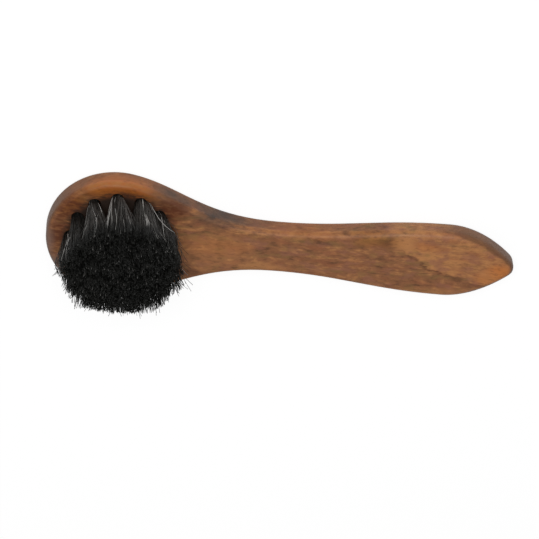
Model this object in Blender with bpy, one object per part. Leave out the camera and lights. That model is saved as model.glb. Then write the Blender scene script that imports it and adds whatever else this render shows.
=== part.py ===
"""Round-headed applicator brush: a one-piece wooden stock and tufts of hair held by wire anchors.

The stock lies on its flat back, with the hair pointing up (+Z) and the handle towards +X.
The origin is on the back, under the middle of the round head. Units are metres.
"""

import math

import bmesh
import bpy
from mathutils import Matrix, Vector

MM = 0.001

# Outline of the wooden stock, seen from the hair side
OVERALL_LENGTH = 169.5 * MM
HEAD_DIAMETER = 49.2 * MM
WAIST_DISTANCE = 57.7 * MM
WAIST_WIDTH = 17.7 * MM
GRIP_DISTANCE = 120.3 * MM
GRIP_WIDTH = 28.0 * MM
TIP_RADIUS = 3.8 * MM

# Where the head's round edge ends and where the tip's begins, as the direction from their centres
SHOULDER_ANGLE = math.radians(79.0)
TIP_ANGLE = math.radians(46.0)

# How far each curve keeps the direction of its end, as a share of that curve's length in X
SHOULDER_PULL = 0.33
WAIST_TO_HEAD_PULL = 0.51
WAIST_TO_GRIP_PULL = 0.41
GRIP_TO_WAIST_PULL = 0.42
GRIP_TO_TIP_PULL = 0.35
TIP_PULL = 0.40

# Thickness of the board and its rounded edges, which grow fuller along the handle
BOARD_THICKNESS = 9.0 * MM
HEAD_EDGE_RADIUS = 2.0 * MM
GRIP_EDGE_RADIUS = 2.8 * MM
EDGE_STEPS = 4

# The holes in the head, in rings round a centre set a little towards the handle
FIELD_CENTRE = Vector((1.6 * MM, 0.8 * MM, 0.0))
EDGE_MARGIN = 7.0 * MM
INNER_RING_RADIUS = 3.9 * MM
TUFTS_IN_RINGS = (13, 8, 3)
OUTER_RING_PHASE = math.radians(97.0)
HOLE_DIAMETER = 4.6 * MM
HOLE_DEPTH = 5.8 * MM
DRILL_POINT_DEPTH = 1.2 * MM

# The flat wire that holds each folded tuft
ANCHOR_THICKNESS = 0.4 * MM
ANCHOR_HEIGHT = 1.7 * MM
ANCHOR_BITE = 0.7 * MM
ANCHOR_EDGE_BEVEL = 0.1 * MM
FOLD_UNDER_ANCHOR = 1.1 * MM

# Hair
HAIR_LENGTH = 19.5 * MM
HAIR_LEAN = 1.4 * MM
TRIM_DOME = 1.0 * MM
TRIM_UNEVENNESS = 0.35 * MM
TIP_RING_SHARE = 0.95
STRANDS_IN_CIRCLES = (1, 5, 10)
STRAND_RADIUS = 0.36 * MM
STRAND_TIP_RADIUS = 0.33 * MM
STRAND_GAP = 0.10 * MM
ROOT_RISE = 0.4 * MM
FOLD_TAPER = 0.7 * MM
FOLD_SHARE = 0.62

# Room between pieces that touch on the real brush
CLEARANCE = 0.3 * MM

# Fineness of round shapes
HEAD_ARC_STEPS = 26
NECK_STEPS = 20
GRIP_STEPS = 20
TIP_STEPS = 14
TIP_ARC_STEPS = 5
HOLE_SIDES = 16
TUFT_SIDES = 8
CUTTER_OVERSHOOT = 1.0 * MM

HEAD_RADIUS = HEAD_DIAMETER / 2
TIP_DISTANCE = OVERALL_LENGTH - HEAD_RADIUS
TIP_CENTRE = Vector((TIP_DISTANCE - TIP_RADIUS, 0.0))
HOLE_RADIUS = HOLE_DIAMETER / 2
HOLE_FLOOR = BOARD_THICKNESS - HOLE_DEPTH
TUFT_RADIUS = HOLE_RADIUS - CLEARANCE
OUTER_RING_RADIUS = HEAD_RADIUS - EDGE_MARGIN
RING_STEP = (OUTER_RING_RADIUS - INNER_RING_RADIUS) / (len(TUFTS_IN_RINGS) - 1)
ANCHOR_LENGTH = HOLE_DIAMETER + 2 * ANCHOR_BITE
ANCHOR_MIDDLE = HOLE_FLOOR + FOLD_UNDER_ANCHOR + ANCHOR_HEIGHT / 2
GOLDEN_TURN = math.radians(137.5)


def clear_scene():
    """Remove every object, so that the brush stands alone."""
    for item in list(bpy.data.objects):
        bpy.data.objects.remove(item, do_unlink=True)


def finish(name, colour, roughness, metallic):
    """A plain Principled material."""
    material = bpy.data.materials.new(name)
    material.use_nodes = True
    shader = material.node_tree.nodes["Principled BSDF"]
    shader.inputs["Base Color"].default_value = (*colour, 1.0)
    shader.inputs["Roughness"].default_value = roughness
    shader.inputs["Metallic"].default_value = metallic
    return material


def stained_beech():
    return finish("stained_beech", (0.258, 0.107, 0.052), 0.42, 0.0)


def black_horsehair():
    return finish("black_horsehair", (0.012, 0.011, 0.010), 0.55, 0.0)


def anchor_wire():
    return finish("anchor_wire", (0.62, 0.58, 0.50), 0.35, 1.0)


def add_object(name, mesh_data, material=None):
    """Turn a bmesh into a named object in the scene."""
    mesh = bpy.data.meshes.new(name)
    mesh_data.to_mesh(mesh)
    mesh_data.free()
    thing = bpy.data.objects.new(name, mesh)
    bpy.context.scene.collection.objects.link(thing)
    if material:
        mesh.materials.append(material)
    return thing


def hide_cutter(thing):
    thing.hide_render = True
    thing.display_type = "WIRE"


def cut_away(thing, cutter):
    """Subtract the cutter with a Boolean modifier."""
    modifier = thing.modifiers.new("cut_" + cutter.name, "BOOLEAN")
    modifier.operation = "DIFFERENCE"
    modifier.solver = "EXACT"
    modifier.object = cutter


def curve_points(start, start_handle, end_handle, end, steps):
    """Points of a Bezier curve after its start."""
    points = []
    for step in range(1, steps + 1):
        t = step / steps
        rest = 1 - t
        point = start * rest ** 3 + start_handle * (3 * rest * rest * t)
        point += end_handle * (3 * rest * t * t) + end * t ** 3
        points.append(point)
    return points


def arc_points(centre, radius, first_angle, last_angle, steps):
    """Points of an arc, with both of its ends."""
    points = []
    for step in range(steps + 1):
        angle = first_angle + (last_angle - first_angle) * step / steps
        points.append(centre + Vector((radius * math.cos(angle), radius * math.sin(angle))))
    return points


def half_outline(inset):
    """The stock's +Y edge from the head's end to the handle's tip, drawn in by the inset."""
    head_centre = Vector((0.0, 0.0))
    points = arc_points(head_centre, HEAD_RADIUS - inset, math.pi, SHOULDER_ANGLE, HEAD_ARC_STEPS)
    nose = arc_points(TIP_CENTRE, TIP_RADIUS - inset, TIP_ANGLE, 0.0, TIP_ARC_STEPS)
    shoulder = points[-1]
    along_shoulder = Vector((math.sin(SHOULDER_ANGLE), -math.cos(SHOULDER_ANGLE)))
    waist = Vector((WAIST_DISTANCE, WAIST_WIDTH / 2 - inset))
    grip = Vector((GRIP_DISTANCE, GRIP_WIDTH / 2 - inset))
    tip = nose[0]
    along_tip = Vector((math.sin(TIP_ANGLE), -math.cos(TIP_ANGLE)))
    neck_span = waist.x - shoulder.x
    grip_span = grip.x - waist.x
    tip_span = tip.x - grip.x
    ahead = Vector((1.0, 0.0))
    points += curve_points(shoulder, shoulder + along_shoulder * neck_span * SHOULDER_PULL,
                           waist - ahead * neck_span * WAIST_TO_HEAD_PULL, waist, NECK_STEPS)
    points += curve_points(waist, waist + ahead * grip_span * WAIST_TO_GRIP_PULL,
                           grip - ahead * grip_span * GRIP_TO_WAIST_PULL, grip, GRIP_STEPS)
    points += curve_points(grip, grip + ahead * tip_span * GRIP_TO_TIP_PULL,
                           tip - along_tip * tip_span * TIP_PULL, tip, TIP_STEPS)
    return points + nose[1:]


def edge_radius(x):
    """Radius of the rounded edge, growing smoothly from the head to the widest part of the grip."""
    share = (x - HEAD_RADIUS) / (GRIP_DISTANCE - HEAD_RADIUS)
    share = min(max(share, 0.0), 1.0)
    share = share * share * (3 - 2 * share)
    return HEAD_EDGE_RADIUS + (GRIP_EDGE_RADIUS - HEAD_EDGE_RADIUS) * share


def stock_ring(slope, upper):
    """One closed ring of the stock's edge, where slope runs from 0 (side wall) to 90 degrees (face)."""
    outside = half_outline(0.0)
    inside = half_outline(GRIP_EDGE_RADIUS)
    upper_half = []
    for outer, inner in zip(outside, inside):
        radius = edge_radius(outer.x)
        drawn_in = radius * (1 - math.cos(slope)) / GRIP_EDGE_RADIUS
        flat = outer.lerp(inner, drawn_in)
        drop = radius * (1 - math.sin(slope))
        height = BOARD_THICKNESS - drop if upper else drop
        upper_half.append(Vector((flat.x, flat.y, height)))
    lower_half = [Vector((p.x, -p.y, p.z)) for p in upper_half[-2:0:-1]]
    return upper_half + lower_half


def stock_mesh():
    """The board: rings of the outline joined into a rounded edge, with a flat face and a flat back."""
    slopes = [math.pi / 2 * step / EDGE_STEPS for step in range(EDGE_STEPS + 1)]
    rings = [stock_ring(slope, False) for slope in reversed(slopes)]
    rings += [stock_ring(slope, True) for slope in slopes]
    mesh = bmesh.new()
    loops = [[mesh.verts.new(point) for point in ring] for ring in rings]
    for below, above in zip(loops, loops[1:]):
        count = len(below)
        for index in range(count):
            after = (index + 1) % count
            mesh.faces.new((below[index], above[index], above[after], below[after]))
    mesh.faces.new(loops[0])
    mesh.faces.new(reversed(loops[-1]))
    bmesh.ops.recalc_face_normals(mesh, faces=mesh.faces)
    return mesh


def hole_places():
    """Ring number and centre of every hole, from the outer ring inwards."""
    places = []
    for ring, count in enumerate(TUFTS_IN_RINGS):
        radius = OUTER_RING_RADIUS - ring * RING_STEP
        for index in range(count):
            angle = OUTER_RING_PHASE + 2 * math.pi * index / count
            offset = Vector((radius * math.cos(angle), radius * math.sin(angle), 0.0))
            places.append((ring, FIELD_CENTRE + offset))
    return places


def add_ring(mesh, centre, radius, height, sides, turn=0.0):
    """Vertices of a regular ring at one height."""
    ring = []
    for index in range(sides):
        angle = turn + 2 * math.pi * index / sides
        place = (centre.x + radius * math.cos(angle), centre.y + radius * math.sin(angle), height)
        ring.append(mesh.verts.new(place))
    return ring


def join_rings(mesh, below, above):
    """Side faces between two rings that run counterclockwise."""
    count = len(below)
    for index in range(count):
        after = (index + 1) % count
        mesh.faces.new((below[index], below[after], above[after], above[index]))


def hole_cutter():
    """All the drilled holes as one cutter: straight sides and a drill point."""
    mesh = bmesh.new()
    for _ring, centre in hole_places():
        mouth = add_ring(mesh, centre, HOLE_RADIUS, BOARD_THICKNESS + CUTTER_OVERSHOOT, HOLE_SIDES)
        floor = add_ring(mesh, centre, HOLE_RADIUS, HOLE_FLOOR, HOLE_SIDES)
        point = mesh.verts.new((centre.x, centre.y, HOLE_FLOOR - DRILL_POINT_DEPTH))
        join_rings(mesh, floor, mouth)
        mesh.faces.new(mouth)
        for index in range(HOLE_SIDES):
            mesh.faces.new((floor[(index + 1) % HOLE_SIDES], floor[index], point))
    cutter = add_object("hole_cutter", mesh)
    hide_cutter(cutter)
    return cutter


def anchor_room_cutter():
    """Room for every anchor: the notches in the wood and the fold that the hair makes round the wire."""
    room = Matrix.Diagonal((ANCHOR_LENGTH + 2 * CLEARANCE,
                            ANCHOR_THICKNESS + 2 * CLEARANCE,
                            ANCHOR_HEIGHT + 2 * CLEARANCE, 1.0))
    mesh = bmesh.new()
    for _ring, centre in hole_places():
        place = Matrix.Translation((centre.x, centre.y, ANCHOR_MIDDLE))
        bmesh.ops.create_cube(mesh, size=1.0, matrix=place @ room)
    cutter = add_object("anchor_room_cutter", mesh)
    hide_cutter(cutter)
    return cutter


def wooden_stock(holes, anchor_room):
    """Head, neck and handle in one piece of wood, drilled and notched for the tufts."""
    stock = add_object("wooden_stock", stock_mesh(), stained_beech())
    cut_away(stock, holes)
    cut_away(stock, anchor_room)
    stock.data.shade_smooth()
    stock.data.set_sharp_from_angle(angle=math.radians(35))
    return stock


def wire_anchor(number, centre, material):
    """A short length of flat wire with eased edges, lying across the hole on its thin side."""
    mesh = bmesh.new()
    size = Matrix.Diagonal((ANCHOR_LENGTH, ANCHOR_THICKNESS, ANCHOR_HEIGHT, 1.0))
    bmesh.ops.create_cube(mesh, size=1.0, matrix=size)
    long_edges = [edge for edge in mesh.edges
                  if abs(edge.verts[0].co.x - edge.verts[1].co.x) > ANCHOR_LENGTH / 2]
    bmesh.ops.bevel(mesh, geom=long_edges, offset=ANCHOR_EDGE_BEVEL, segments=1, affect="EDGES")
    anchor = add_object(f"wire_anchor_{number:02d}", mesh, material)
    anchor.location = (centre.x, centre.y, ANCHOR_MIDDLE)
    return anchor


def strand_starts():
    """Places of a tuft's strands in its root, in circles, and their places as shares of that radius."""
    room = TUFT_RADIUS * math.cos(math.pi / TUFT_SIDES) - STRAND_RADIUS - STRAND_GAP / 2
    last = len(STRANDS_IN_CIRCLES) - 1
    starts = []
    for circle, count in enumerate(STRANDS_IN_CIRCLES):
        radius = room * circle / last
        for index in range(count):
            angle = 2 * math.pi * index / count + circle * GOLDEN_TURN
            starts.append(Vector((radius * math.cos(angle), radius * math.sin(angle), 0.0)))
    return starts, room


def tip_spread():
    """Radius that a tuft's strands spread to at the trim, as far as the nearest neighbour allows."""
    spacings = [RING_STEP * TIP_RING_SHARE]
    for ring, count in enumerate(TUFTS_IN_RINGS):
        radius = (OUTER_RING_RADIUS - ring * RING_STEP) * TIP_RING_SHARE
        spacings.append(2 * radius * math.sin(math.pi / count))
    return min(spacings) / 2 - STRAND_TIP_RADIUS - STRAND_GAP / 2


def strand_levels(centre):
    """Heights up a tuft: share of its length, sideways drift of its axis, and reach of its strands."""
    rim = centre - FIELD_CENTRE
    drift = rim * (TIP_RING_SHARE - 1) + Vector((HAIR_LEAN, 0.0, 0.0))
    fall = TRIM_DOME * (rim.length / OUTER_RING_RADIUS) ** 2
    top = BOARD_THICKNESS + HAIR_LENGTH - fall
    root = BOARD_THICKNESS + ROOT_RISE
    levels = []
    for share in (0.0, 0.42, 1.0):
        opened = 1 - (1 - share) ** 1.6
        levels.append((root + (top - root) * share, drift * opened, opened))
    return levels


def hair_tuft(number, centre, material, anchor_room):
    """A folded tuft: its root fills the hole round the anchor, and its strands fan out to the trim."""
    mesh = bmesh.new()
    origin = Vector((0.0, 0.0, 0.0))
    turn = math.pi / TUFT_SIDES
    levels = strand_levels(centre)
    fold_height = HOLE_FLOOR + CLEARANCE
    fold = add_ring(mesh, origin, TUFT_RADIUS * FOLD_SHARE, fold_height, TUFT_SIDES, turn)
    side = add_ring(mesh, origin, TUFT_RADIUS, fold_height + FOLD_TAPER, TUFT_SIDES, turn)
    face = add_ring(mesh, origin, TUFT_RADIUS, levels[0][0], TUFT_SIDES, turn)
    join_rings(mesh, fold, side)
    join_rings(mesh, side, face)
    mesh.faces.new(reversed(fold))
    face_edges = [mesh.edges.get((face[i], face[(i + 1) % TUFT_SIDES])) for i in range(TUFT_SIDES)]

    starts, room = strand_starts()
    widening = tip_spread() / room
    for index, start in enumerate(starts):
        facing = index * GOLDEN_TURN
        uneven = TRIM_UNEVENNESS * math.sin(GOLDEN_TURN * (index + number * len(starts)))
        rings = []
        for height, drift, opened in levels:
            place = start * (1 + (widening - 1) * opened) + drift
            radius = STRAND_RADIUS + (STRAND_TIP_RADIUS - STRAND_RADIUS) * opened
            level = height + uneven * opened
            rings.append(add_ring(mesh, place, radius, level, 3, facing))
        for below, above in zip(rings, rings[1:]):
            join_rings(mesh, below, above)
        mesh.faces.new(rings[-1])
        root = rings[0]
        face_edges += [mesh.edges.get((root[i], root[(i + 1) % 3])) for i in range(3)]
    bmesh.ops.triangle_fill(mesh, use_beauty=True, edges=face_edges, normal=(0.0, 0.0, 1.0))
    bmesh.ops.recalc_face_normals(mesh, faces=mesh.faces)

    tuft = add_object(f"hair_tuft_{number:02d}", mesh, material)
    tuft.location = (centre.x, centre.y, 0.0)
    cut_away(tuft, anchor_room)
    return tuft


def main():
    clear_scene()
    holes = hole_cutter()
    anchor_room = anchor_room_cutter()
    wooden_stock(holes, anchor_room)
    hair = black_horsehair()
    wire = anchor_wire()
    for number, (_ring, centre) in enumerate(hole_places(), start=1):
        hair_tuft(number, centre, hair, anchor_room)
        wire_anchor(number, centre, wire)


main()
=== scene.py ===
# %% [markdown]
# # A round-headed applicator brush
# The brush is one board of stained beech with a round head, a narrow neck and a swelling handle.
# Tufts of black horsehair stand in holes drilled in the head, each folded over a short flat wire.
# The sized solids come first, and this lesson gives them their surfaces: wood, hair and light.

# %% Load the sized solids
import math

import bpy
import numpy as np
from mathutils import Matrix, Vector


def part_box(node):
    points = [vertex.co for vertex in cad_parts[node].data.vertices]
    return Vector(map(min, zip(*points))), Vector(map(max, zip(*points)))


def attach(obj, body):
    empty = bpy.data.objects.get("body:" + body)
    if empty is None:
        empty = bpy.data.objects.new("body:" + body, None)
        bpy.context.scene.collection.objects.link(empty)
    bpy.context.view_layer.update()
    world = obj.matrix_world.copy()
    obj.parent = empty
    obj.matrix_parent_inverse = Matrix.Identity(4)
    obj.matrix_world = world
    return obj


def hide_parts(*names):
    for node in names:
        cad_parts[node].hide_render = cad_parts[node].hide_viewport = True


MM = 0.001
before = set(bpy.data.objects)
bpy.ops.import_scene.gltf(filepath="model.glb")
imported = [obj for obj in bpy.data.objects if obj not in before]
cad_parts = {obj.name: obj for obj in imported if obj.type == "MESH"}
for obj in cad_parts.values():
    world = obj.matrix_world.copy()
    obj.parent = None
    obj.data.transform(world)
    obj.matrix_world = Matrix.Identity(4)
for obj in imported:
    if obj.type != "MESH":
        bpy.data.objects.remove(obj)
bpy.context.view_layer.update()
tuft_names = sorted(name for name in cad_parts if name.startswith("hair_tuft"))
anchor_names = sorted(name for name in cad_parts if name.startswith("wire_anchor"))
print("nodes:", len(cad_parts), "tufts:", len(tuft_names), "anchors:", len(anchor_names))

# %% [markdown]
# ## The camera
# The brush lies on its back, and the camera looks down on it from over one long side.
# That is the upper side in the picture, so the tufts point down in it.
# A long lens was used: the head and the tip are drawn at nearly one scale.
# The camera is placed by a distance and three angles from one point on the brush, its pivot.
# It is then turned a little, so that the pivot falls beside the middle of the picture.

# %% Place the camera
IMAGE_SIDE = 539
SENSOR_WIDTH = 36.0
VIEW_PIVOT = Vector((60.0, 0.0, 4.5)) * MM
PIVOT_PIXEL = (280.85, 246.6)
PIXELS_PER_MM = 2.774
CAMERA_DISTANCE = 1037.0 * MM
VIEW_TILT = math.radians(35.8)
VIEW_YAW = math.radians(5.5)
VIEW_ROLL = math.radians(4.55)


def camera_turn():
    """The camera's rotation, the direction from the brush to it, and its focal length in pixels."""
    towards = Vector((-math.sin(VIEW_YAW),
                      math.cos(VIEW_YAW) * math.sin(VIEW_TILT),
                      math.cos(VIEW_YAW) * math.cos(VIEW_TILT)))
    level = (Vector((1, 0, 0)) - towards * towards.x).normalized()
    upward = towards.cross(level)
    right = level * math.cos(VIEW_ROLL) + upward * math.sin(VIEW_ROLL)
    up = upward * math.cos(VIEW_ROLL) - level * math.sin(VIEW_ROLL)
    facing = Matrix((right, up, towards)).transposed()
    focal_pixels = PIXELS_PER_MM * CAMERA_DISTANCE / MM
    aim = Vector((PIVOT_PIXEL[0] - IMAGE_SIDE / 2, IMAGE_SIDE / 2 - PIVOT_PIXEL[1], -focal_pixels))
    aside = aim.rotation_difference(Vector((0, 0, -1)))
    return facing @ aside.to_matrix(), towards, focal_pixels


facing, towards, focal_pixels = camera_turn()
bpy.ops.object.camera_add(location=VIEW_PIVOT + towards * CAMERA_DISTANCE)
camera = bpy.context.object
camera.rotation_euler = facing.to_euler()
camera.data.sensor_width = SENSOR_WIDTH
camera.data.lens = focal_pixels * SENSOR_WIDTH / IMAGE_SIDE
bpy.context.scene.camera = camera
bpy.context.scene.view_settings.view_transform = "Standard"
print(f"lens {camera.data.lens:.1f} mm, {CAMERA_DISTANCE:.3f} m from the brush")

# %% [markdown]
# ## Finishes as short recipes
# A material is a small net of nodes. Written out by hand, each node takes several lines,
# so this helper adds one node in each call and hands back its output.
# Every pattern then reads as a recipe: stretch the wood, add streaks, darken, polish.
# Most steps are spans: while one value goes from low to high, another goes from one strength
# to the next. A span's two or four numbers are kept together under one name,
# and so are the scale, the detail and the roughness of a noise.

# %% A helper for finishes


class Finish:
    """A material being built: each method adds a node and returns its output."""

    def __init__(self, name):
        self.material = bpy.data.materials.new(name)
        self.material.use_nodes = True
        self.tree = self.material.node_tree
        self.shader = self.tree.nodes["Principled BSDF"]

    def add(self, kind, inputs, output=0, **settings):
        """Any node, with its inputs linked or set."""
        node = self.tree.nodes.new(kind)
        for name, value in settings.items():
            setattr(node, name, value)
        for name, value in inputs.items():
            if isinstance(value, bpy.types.NodeSocket):
                self.tree.links.new(value, node.inputs[name])
            else:
                node.inputs[name].default_value = value
        return node.outputs[output]

    def place(self, output="Object"):
        return self.add("ShaderNodeTexCoord", {}, output)

    def stretch(self, place, scale, shift=(0, 0, 0)):
        return self.add("ShaderNodeMapping", {"Vector": place, "Scale": scale, "Location": shift})

    def noise(self, place, scale, detail, roughness=0.5):
        return self.add("ShaderNodeTexNoise", {"Vector": place, "Scale": scale, "Detail": detail,
                                               "Roughness": roughness})

    def math(self, operation, *values):
        return self.add("ShaderNodeMath", dict(enumerate(values)), operation=operation)

    def axes(self, vector):
        """The three numbers of a vector."""
        return self.add("ShaderNodeSeparateXYZ", {0: vector}).node.outputs

    def span(self, value, low, high, out_low=0.0, out_high=1.0):
        """The value's way from low to high, eased at both ends."""
        return self.add("ShaderNodeMapRange", {"Value": value, "From Min": low, "From Max": high,
                                               "To Min": out_low, "To Max": out_high},
                        interpolation_type="SMOOTHSTEP")

    def mix(self, share, first, second, blend_type="MIX"):
        return self.add("ShaderNodeMix", {0: share, 6: first, 7: second}, output=2,
                        data_type="RGBA", blend_type=blend_type)

    def spot(self, place, middle, size, core=0.25):
        """1 in the core of an egg-shaped place, falling to 0 at its full size, in millimetres."""
        moved = self.add("ShaderNodeVectorMath", {0: place, 1: middle}, operation="SUBTRACT")
        shared = self.add("ShaderNodeVectorMath", {0: moved, 1: size}, operation="DIVIDE")
        reach = self.add("ShaderNodeVectorMath", {0: shared}, output="Value", operation="LENGTH")
        return self.span(reach, core, 1.0, 1.0, 0.0)

    def bump(self, height, strength, distance):
        return self.add("ShaderNodeBump", {"Height": height, "Strength": strength,
                                           "Distance": distance})

    def use(self, **sockets):
        """Set or link the shader's own sockets, named with _ for a space."""
        for name, value in sockets.items():
            socket = self.shader.inputs[name.replace("_", " ")]
            if isinstance(value, bpy.types.NodeSocket):
                self.tree.links.new(value, socket)
            else:
                socket.default_value = value
        return self.material


print("steps of a recipe:", ", ".join(step for step in vars(Finish) if not step.startswith("_")))

# %% [markdown]
# ## The floor
# The brush lies on a plain pale floor that runs on past the picture.
# The camera sees most of the floor as plain white, mixed with a little of its real shade,
# so the soft shadow under the brush stays. The same white shows in reflections on hair and lacquer.

# %% Make the floor
FLOOR_SIDE = 6.0
FLOOR_DROP = 0.2 * MM
FLOOR_COLOUR = (0.90, 0.90, 0.90, 1.0)
FLOOR_ROUGHNESS = 0.8
FLOOR_WHITE_SHARE = 0.84
FLOOR_GLOW = 1.05
WHITE = (1.0, 1.0, 1.0, 1.0)


def deselect_all():
    bpy.ops.object.select_all(action="DESELECT")


def floor_finish():
    """Pale floor that the camera and reflections see as nearly white."""
    finish = Finish("pale_floor")
    finish.use(Base_Color=FLOOR_COLOUR, Roughness=FLOOR_ROUGHNESS)
    rays = finish.tree.nodes.new("ShaderNodeLightPath")
    seen = finish.math("MAXIMUM", rays.outputs["Is Camera Ray"], rays.outputs["Is Glossy Ray"])
    seen = finish.math("MAXIMUM", seen, rays.outputs["Is Transmission Ray"])
    share = finish.math("MULTIPLY", seen, FLOOR_WHITE_SHARE)
    glow = finish.add("ShaderNodeEmission", {"Color": WHITE, "Strength": FLOOR_GLOW})
    both = finish.add("ShaderNodeMixShader", {0: share, 1: finish.shader.outputs[0], 2: glow})
    finish.tree.links.new(both, finish.tree.nodes["Material Output"].inputs["Surface"])
    return finish.material


deselect_all()
bpy.ops.mesh.primitive_plane_add(size=FLOOR_SIDE, location=(VIEW_PIVOT.x, 0, -FLOOR_DROP))
floor = bpy.context.object
floor.name = "floor"
floor.data.materials.append(floor_finish())
print(f"floor: {FLOOR_SIDE:.0f} m wide, {FLOOR_DROP / MM:.1f} mm under the brush")

# %% [markdown]
# ## The light
# One wide lamp hangs over the same side as the camera, so the rims and hairs there are brightest.
# An even, dimmer light from all round fills the shadows.
# Together they light a flat face at a plain level, at which a colour shows about as it is written.

# %% Hang the lamp
ROOM_LIGHT = 0.38
KEY_PLACE = Vector((-0.10, 0.62, 0.95))
KEY_SIZE = 0.55
KEY_WATTS = 8.6


def light_room():
    """An even light all round, white where the camera sees it."""
    world = bpy.data.worlds.new("soft_room")
    bpy.context.scene.world = world
    world.use_nodes = True
    tree = world.node_tree
    rays = tree.nodes.new("ShaderNodeLightPath")
    strength = tree.nodes.new("ShaderNodeMix")
    strength.inputs[2].default_value = ROOM_LIGHT
    strength.inputs[3].default_value = 1.0
    tree.links.new(rays.outputs["Is Camera Ray"], strength.inputs[0])
    tree.nodes["Background"].inputs["Color"].default_value = WHITE
    tree.links.new(strength.outputs[0], tree.nodes["Background"].inputs["Strength"])


def hang_lamp(name, place, size, watts):
    """A square lamp that faces the brush."""
    bpy.ops.object.light_add(type="AREA", location=place)
    lamp = bpy.context.object
    lamp.name = name
    lamp.rotation_euler = (VIEW_PIVOT - place).to_track_quat("-Z", "Y").to_euler()
    lamp.data.size = size
    lamp.data.energy = watts
    return lamp


light_room()
key_lamp = hang_lamp("key_lamp", KEY_PLACE, KEY_SIZE, KEY_WATTS)
print(f"{key_lamp.name}: {KEY_WATTS} W, {(KEY_PLACE - VIEW_PIVOT).length:.2f} m from the brush")

# %% [markdown]
# ## The stock
# The stock is sawn from a beech board, rounded along its edges, drilled, stained and lacquered.
# The sized solid already has this form with its 24 holes, but it comes as loose flat triangles.
# A joined copy of it is shaded smooth, and its large flat faces are given the say over the shading
# at the rims, so that they stay flat and only the rounded edges turn the light.

# %% Join and smooth the stock
MERGE_DISTANCE = 0.002 * MM
FLAT_ANGLE = math.radians(0.5)
SMOOTH_ANGLE = math.radians(40)


def select_only(thing):
    deselect_all()
    thing.select_set(True)
    bpy.context.view_layer.objects.active = thing


def joined_copy(node, name):
    """A copy of a solid whose triangles share their corners, with its flat faces in one piece."""
    select_only(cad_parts[node])
    bpy.ops.object.duplicate()
    copy = bpy.context.object
    copy.name = name
    bpy.ops.object.mode_set(mode="EDIT")
    bpy.ops.mesh.select_all(action="SELECT")
    bpy.ops.mesh.remove_doubles(threshold=MERGE_DISTANCE)
    bpy.ops.mesh.customdata_custom_splitnormals_clear()
    bpy.ops.mesh.dissolve_limited(angle_limit=FLAT_ANGLE)
    bpy.ops.object.mode_set(mode="OBJECT")
    return copy


def smooth_stock():
    """The stock with flat faces and softly shaded edges."""
    stock = joined_copy("wooden_stock", "lacquered_stock")
    bpy.ops.object.shade_smooth_by_angle(angle=SMOOTH_ANGLE)
    modifier = stock.modifiers.new("flat_faces_lead", "WEIGHTED_NORMAL")
    modifier.keep_sharp = True
    bpy.ops.object.modifier_apply(modifier=modifier.name)
    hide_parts("wooden_stock")
    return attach(stock, "root")


stock = smooth_stock()
board_low, board_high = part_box("wooden_stock")
FACE_HEIGHT = board_high.z
print(f"stock: {len(stock.data.vertices)} corners, face {FACE_HEIGHT / MM:.1f} mm high")

# %% [markdown]
# ## Stained and lacquered beech
# Beech is plain and close-grained: fine streaks run along the handle, with short dark flecks.
# A picture of wood wrapped round the board would show a seam and smear over its rounded edges.
# Here everything is worked out from the place in the wood, so the pattern runs through the board
# and over its edges, as it does in a solid piece. Noise that is stretched along the handle gives
# grain, streaks and long bands, and rounder noise gives mottling and the drift of the hue.

# %% Patterns that run through the wood
PATTERNS = {
    "grain": ((0.15, 2.4, 1.9), 3.0, 0.60),
    "streaks": ((0.36, 0.85, 0.75), 2.5, 0.55),
    "bands": ((0.03, 0.45, 0.35), 3.0, 0.50),
    "mottle": ((0.17, 0.32, 0.25), 4.0, 0.60),
    "flecks": ((0.45, 1.5, 1.3), 2.0, 0.50),
    "yellow": ((0.13, 0.34, 0.30), 3.0, 0.55),
    "blush": ((0.15, 0.30, 0.30), 3.0, 0.55),
}
PATTERN_SHIFT = Vector((7.0, 3.0, 1.0))
PER_MM = (1 / MM, 1 / MM, 1 / MM)
DRIFT_SCALE = (0.022, 0.06, 0.06)
DRIFT_NOISE = (1.0, 2.0)
DRIFT = (0.2, 0.8, -1.4, 1.4)


class Board:
    """Where a place lies in the wood, in millimetres, how its surface leans, and its patterns."""

    def __init__(self, finish):
        self.place = finish.stretch(finish.place(), PER_MM)
        self.x, self.y, self.z = finish.axes(self.place)
        lean_x, _lean_y, lean_z = finish.axes(finish.place("Normal"))
        self.end_on = finish.math("ABSOLUTE", lean_x)
        self.flat = finish.math("ABSOLUTE", lean_z)
        drift = finish.noise(finish.stretch(self.place, DRIFT_SCALE), *DRIFT_NOISE)
        aside = finish.add("ShaderNodeCombineXYZ", {"Y": finish.span(drift, *DRIFT)})
        bent = finish.add("ShaderNodeVectorMath", {0: self.place, 1: aside}, operation="ADD")
        for number, (name, (scale, detail, roughness)) in enumerate(PATTERNS.items()):
            stretched = finish.stretch(bent, scale, PATTERN_SHIFT * number)
            setattr(self, name, finish.noise(stretched, 1.0, detail, roughness))


wood = Finish("stained_beech_lacquer")
board = Board(wood)
print("patterns:", ", ".join(PATTERNS), "in", len(wood.tree.nodes), "nodes")

# %% [markdown]
# ## The growth ring
# A growth ring that the saw has cut at a slant crosses the grip as a curved line: steep at first,
# then flatter, like a quantity that dies away, so an exponential draws it. The wood beyond is paler.
# The line itself is dark only along part of its way, and it wavers with the mottling.

# %% Draw the growth ring
RING_FOOT = -8.5
RING_RISE = 19.5
RING_START = 99.0
RING_LENGTH = 15.0
RING_SLANT = 0.5
RING_WAVER = (0.3, 0.7, -0.9, 0.9)
RING_BORDER = (-0.3, 1.6)
RING_ON_GRIP = (90.0, 101.0)
LINE_WIDTH = (0.15, 0.9, 1.0, 0.0)
LINE_START = (103.0, 108.0)
LINE_END = (118.5, 123.5, 1.0, 0.0)
LINE_BREAKS = (0.38, 0.58, 1.0, 0.25)


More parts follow.
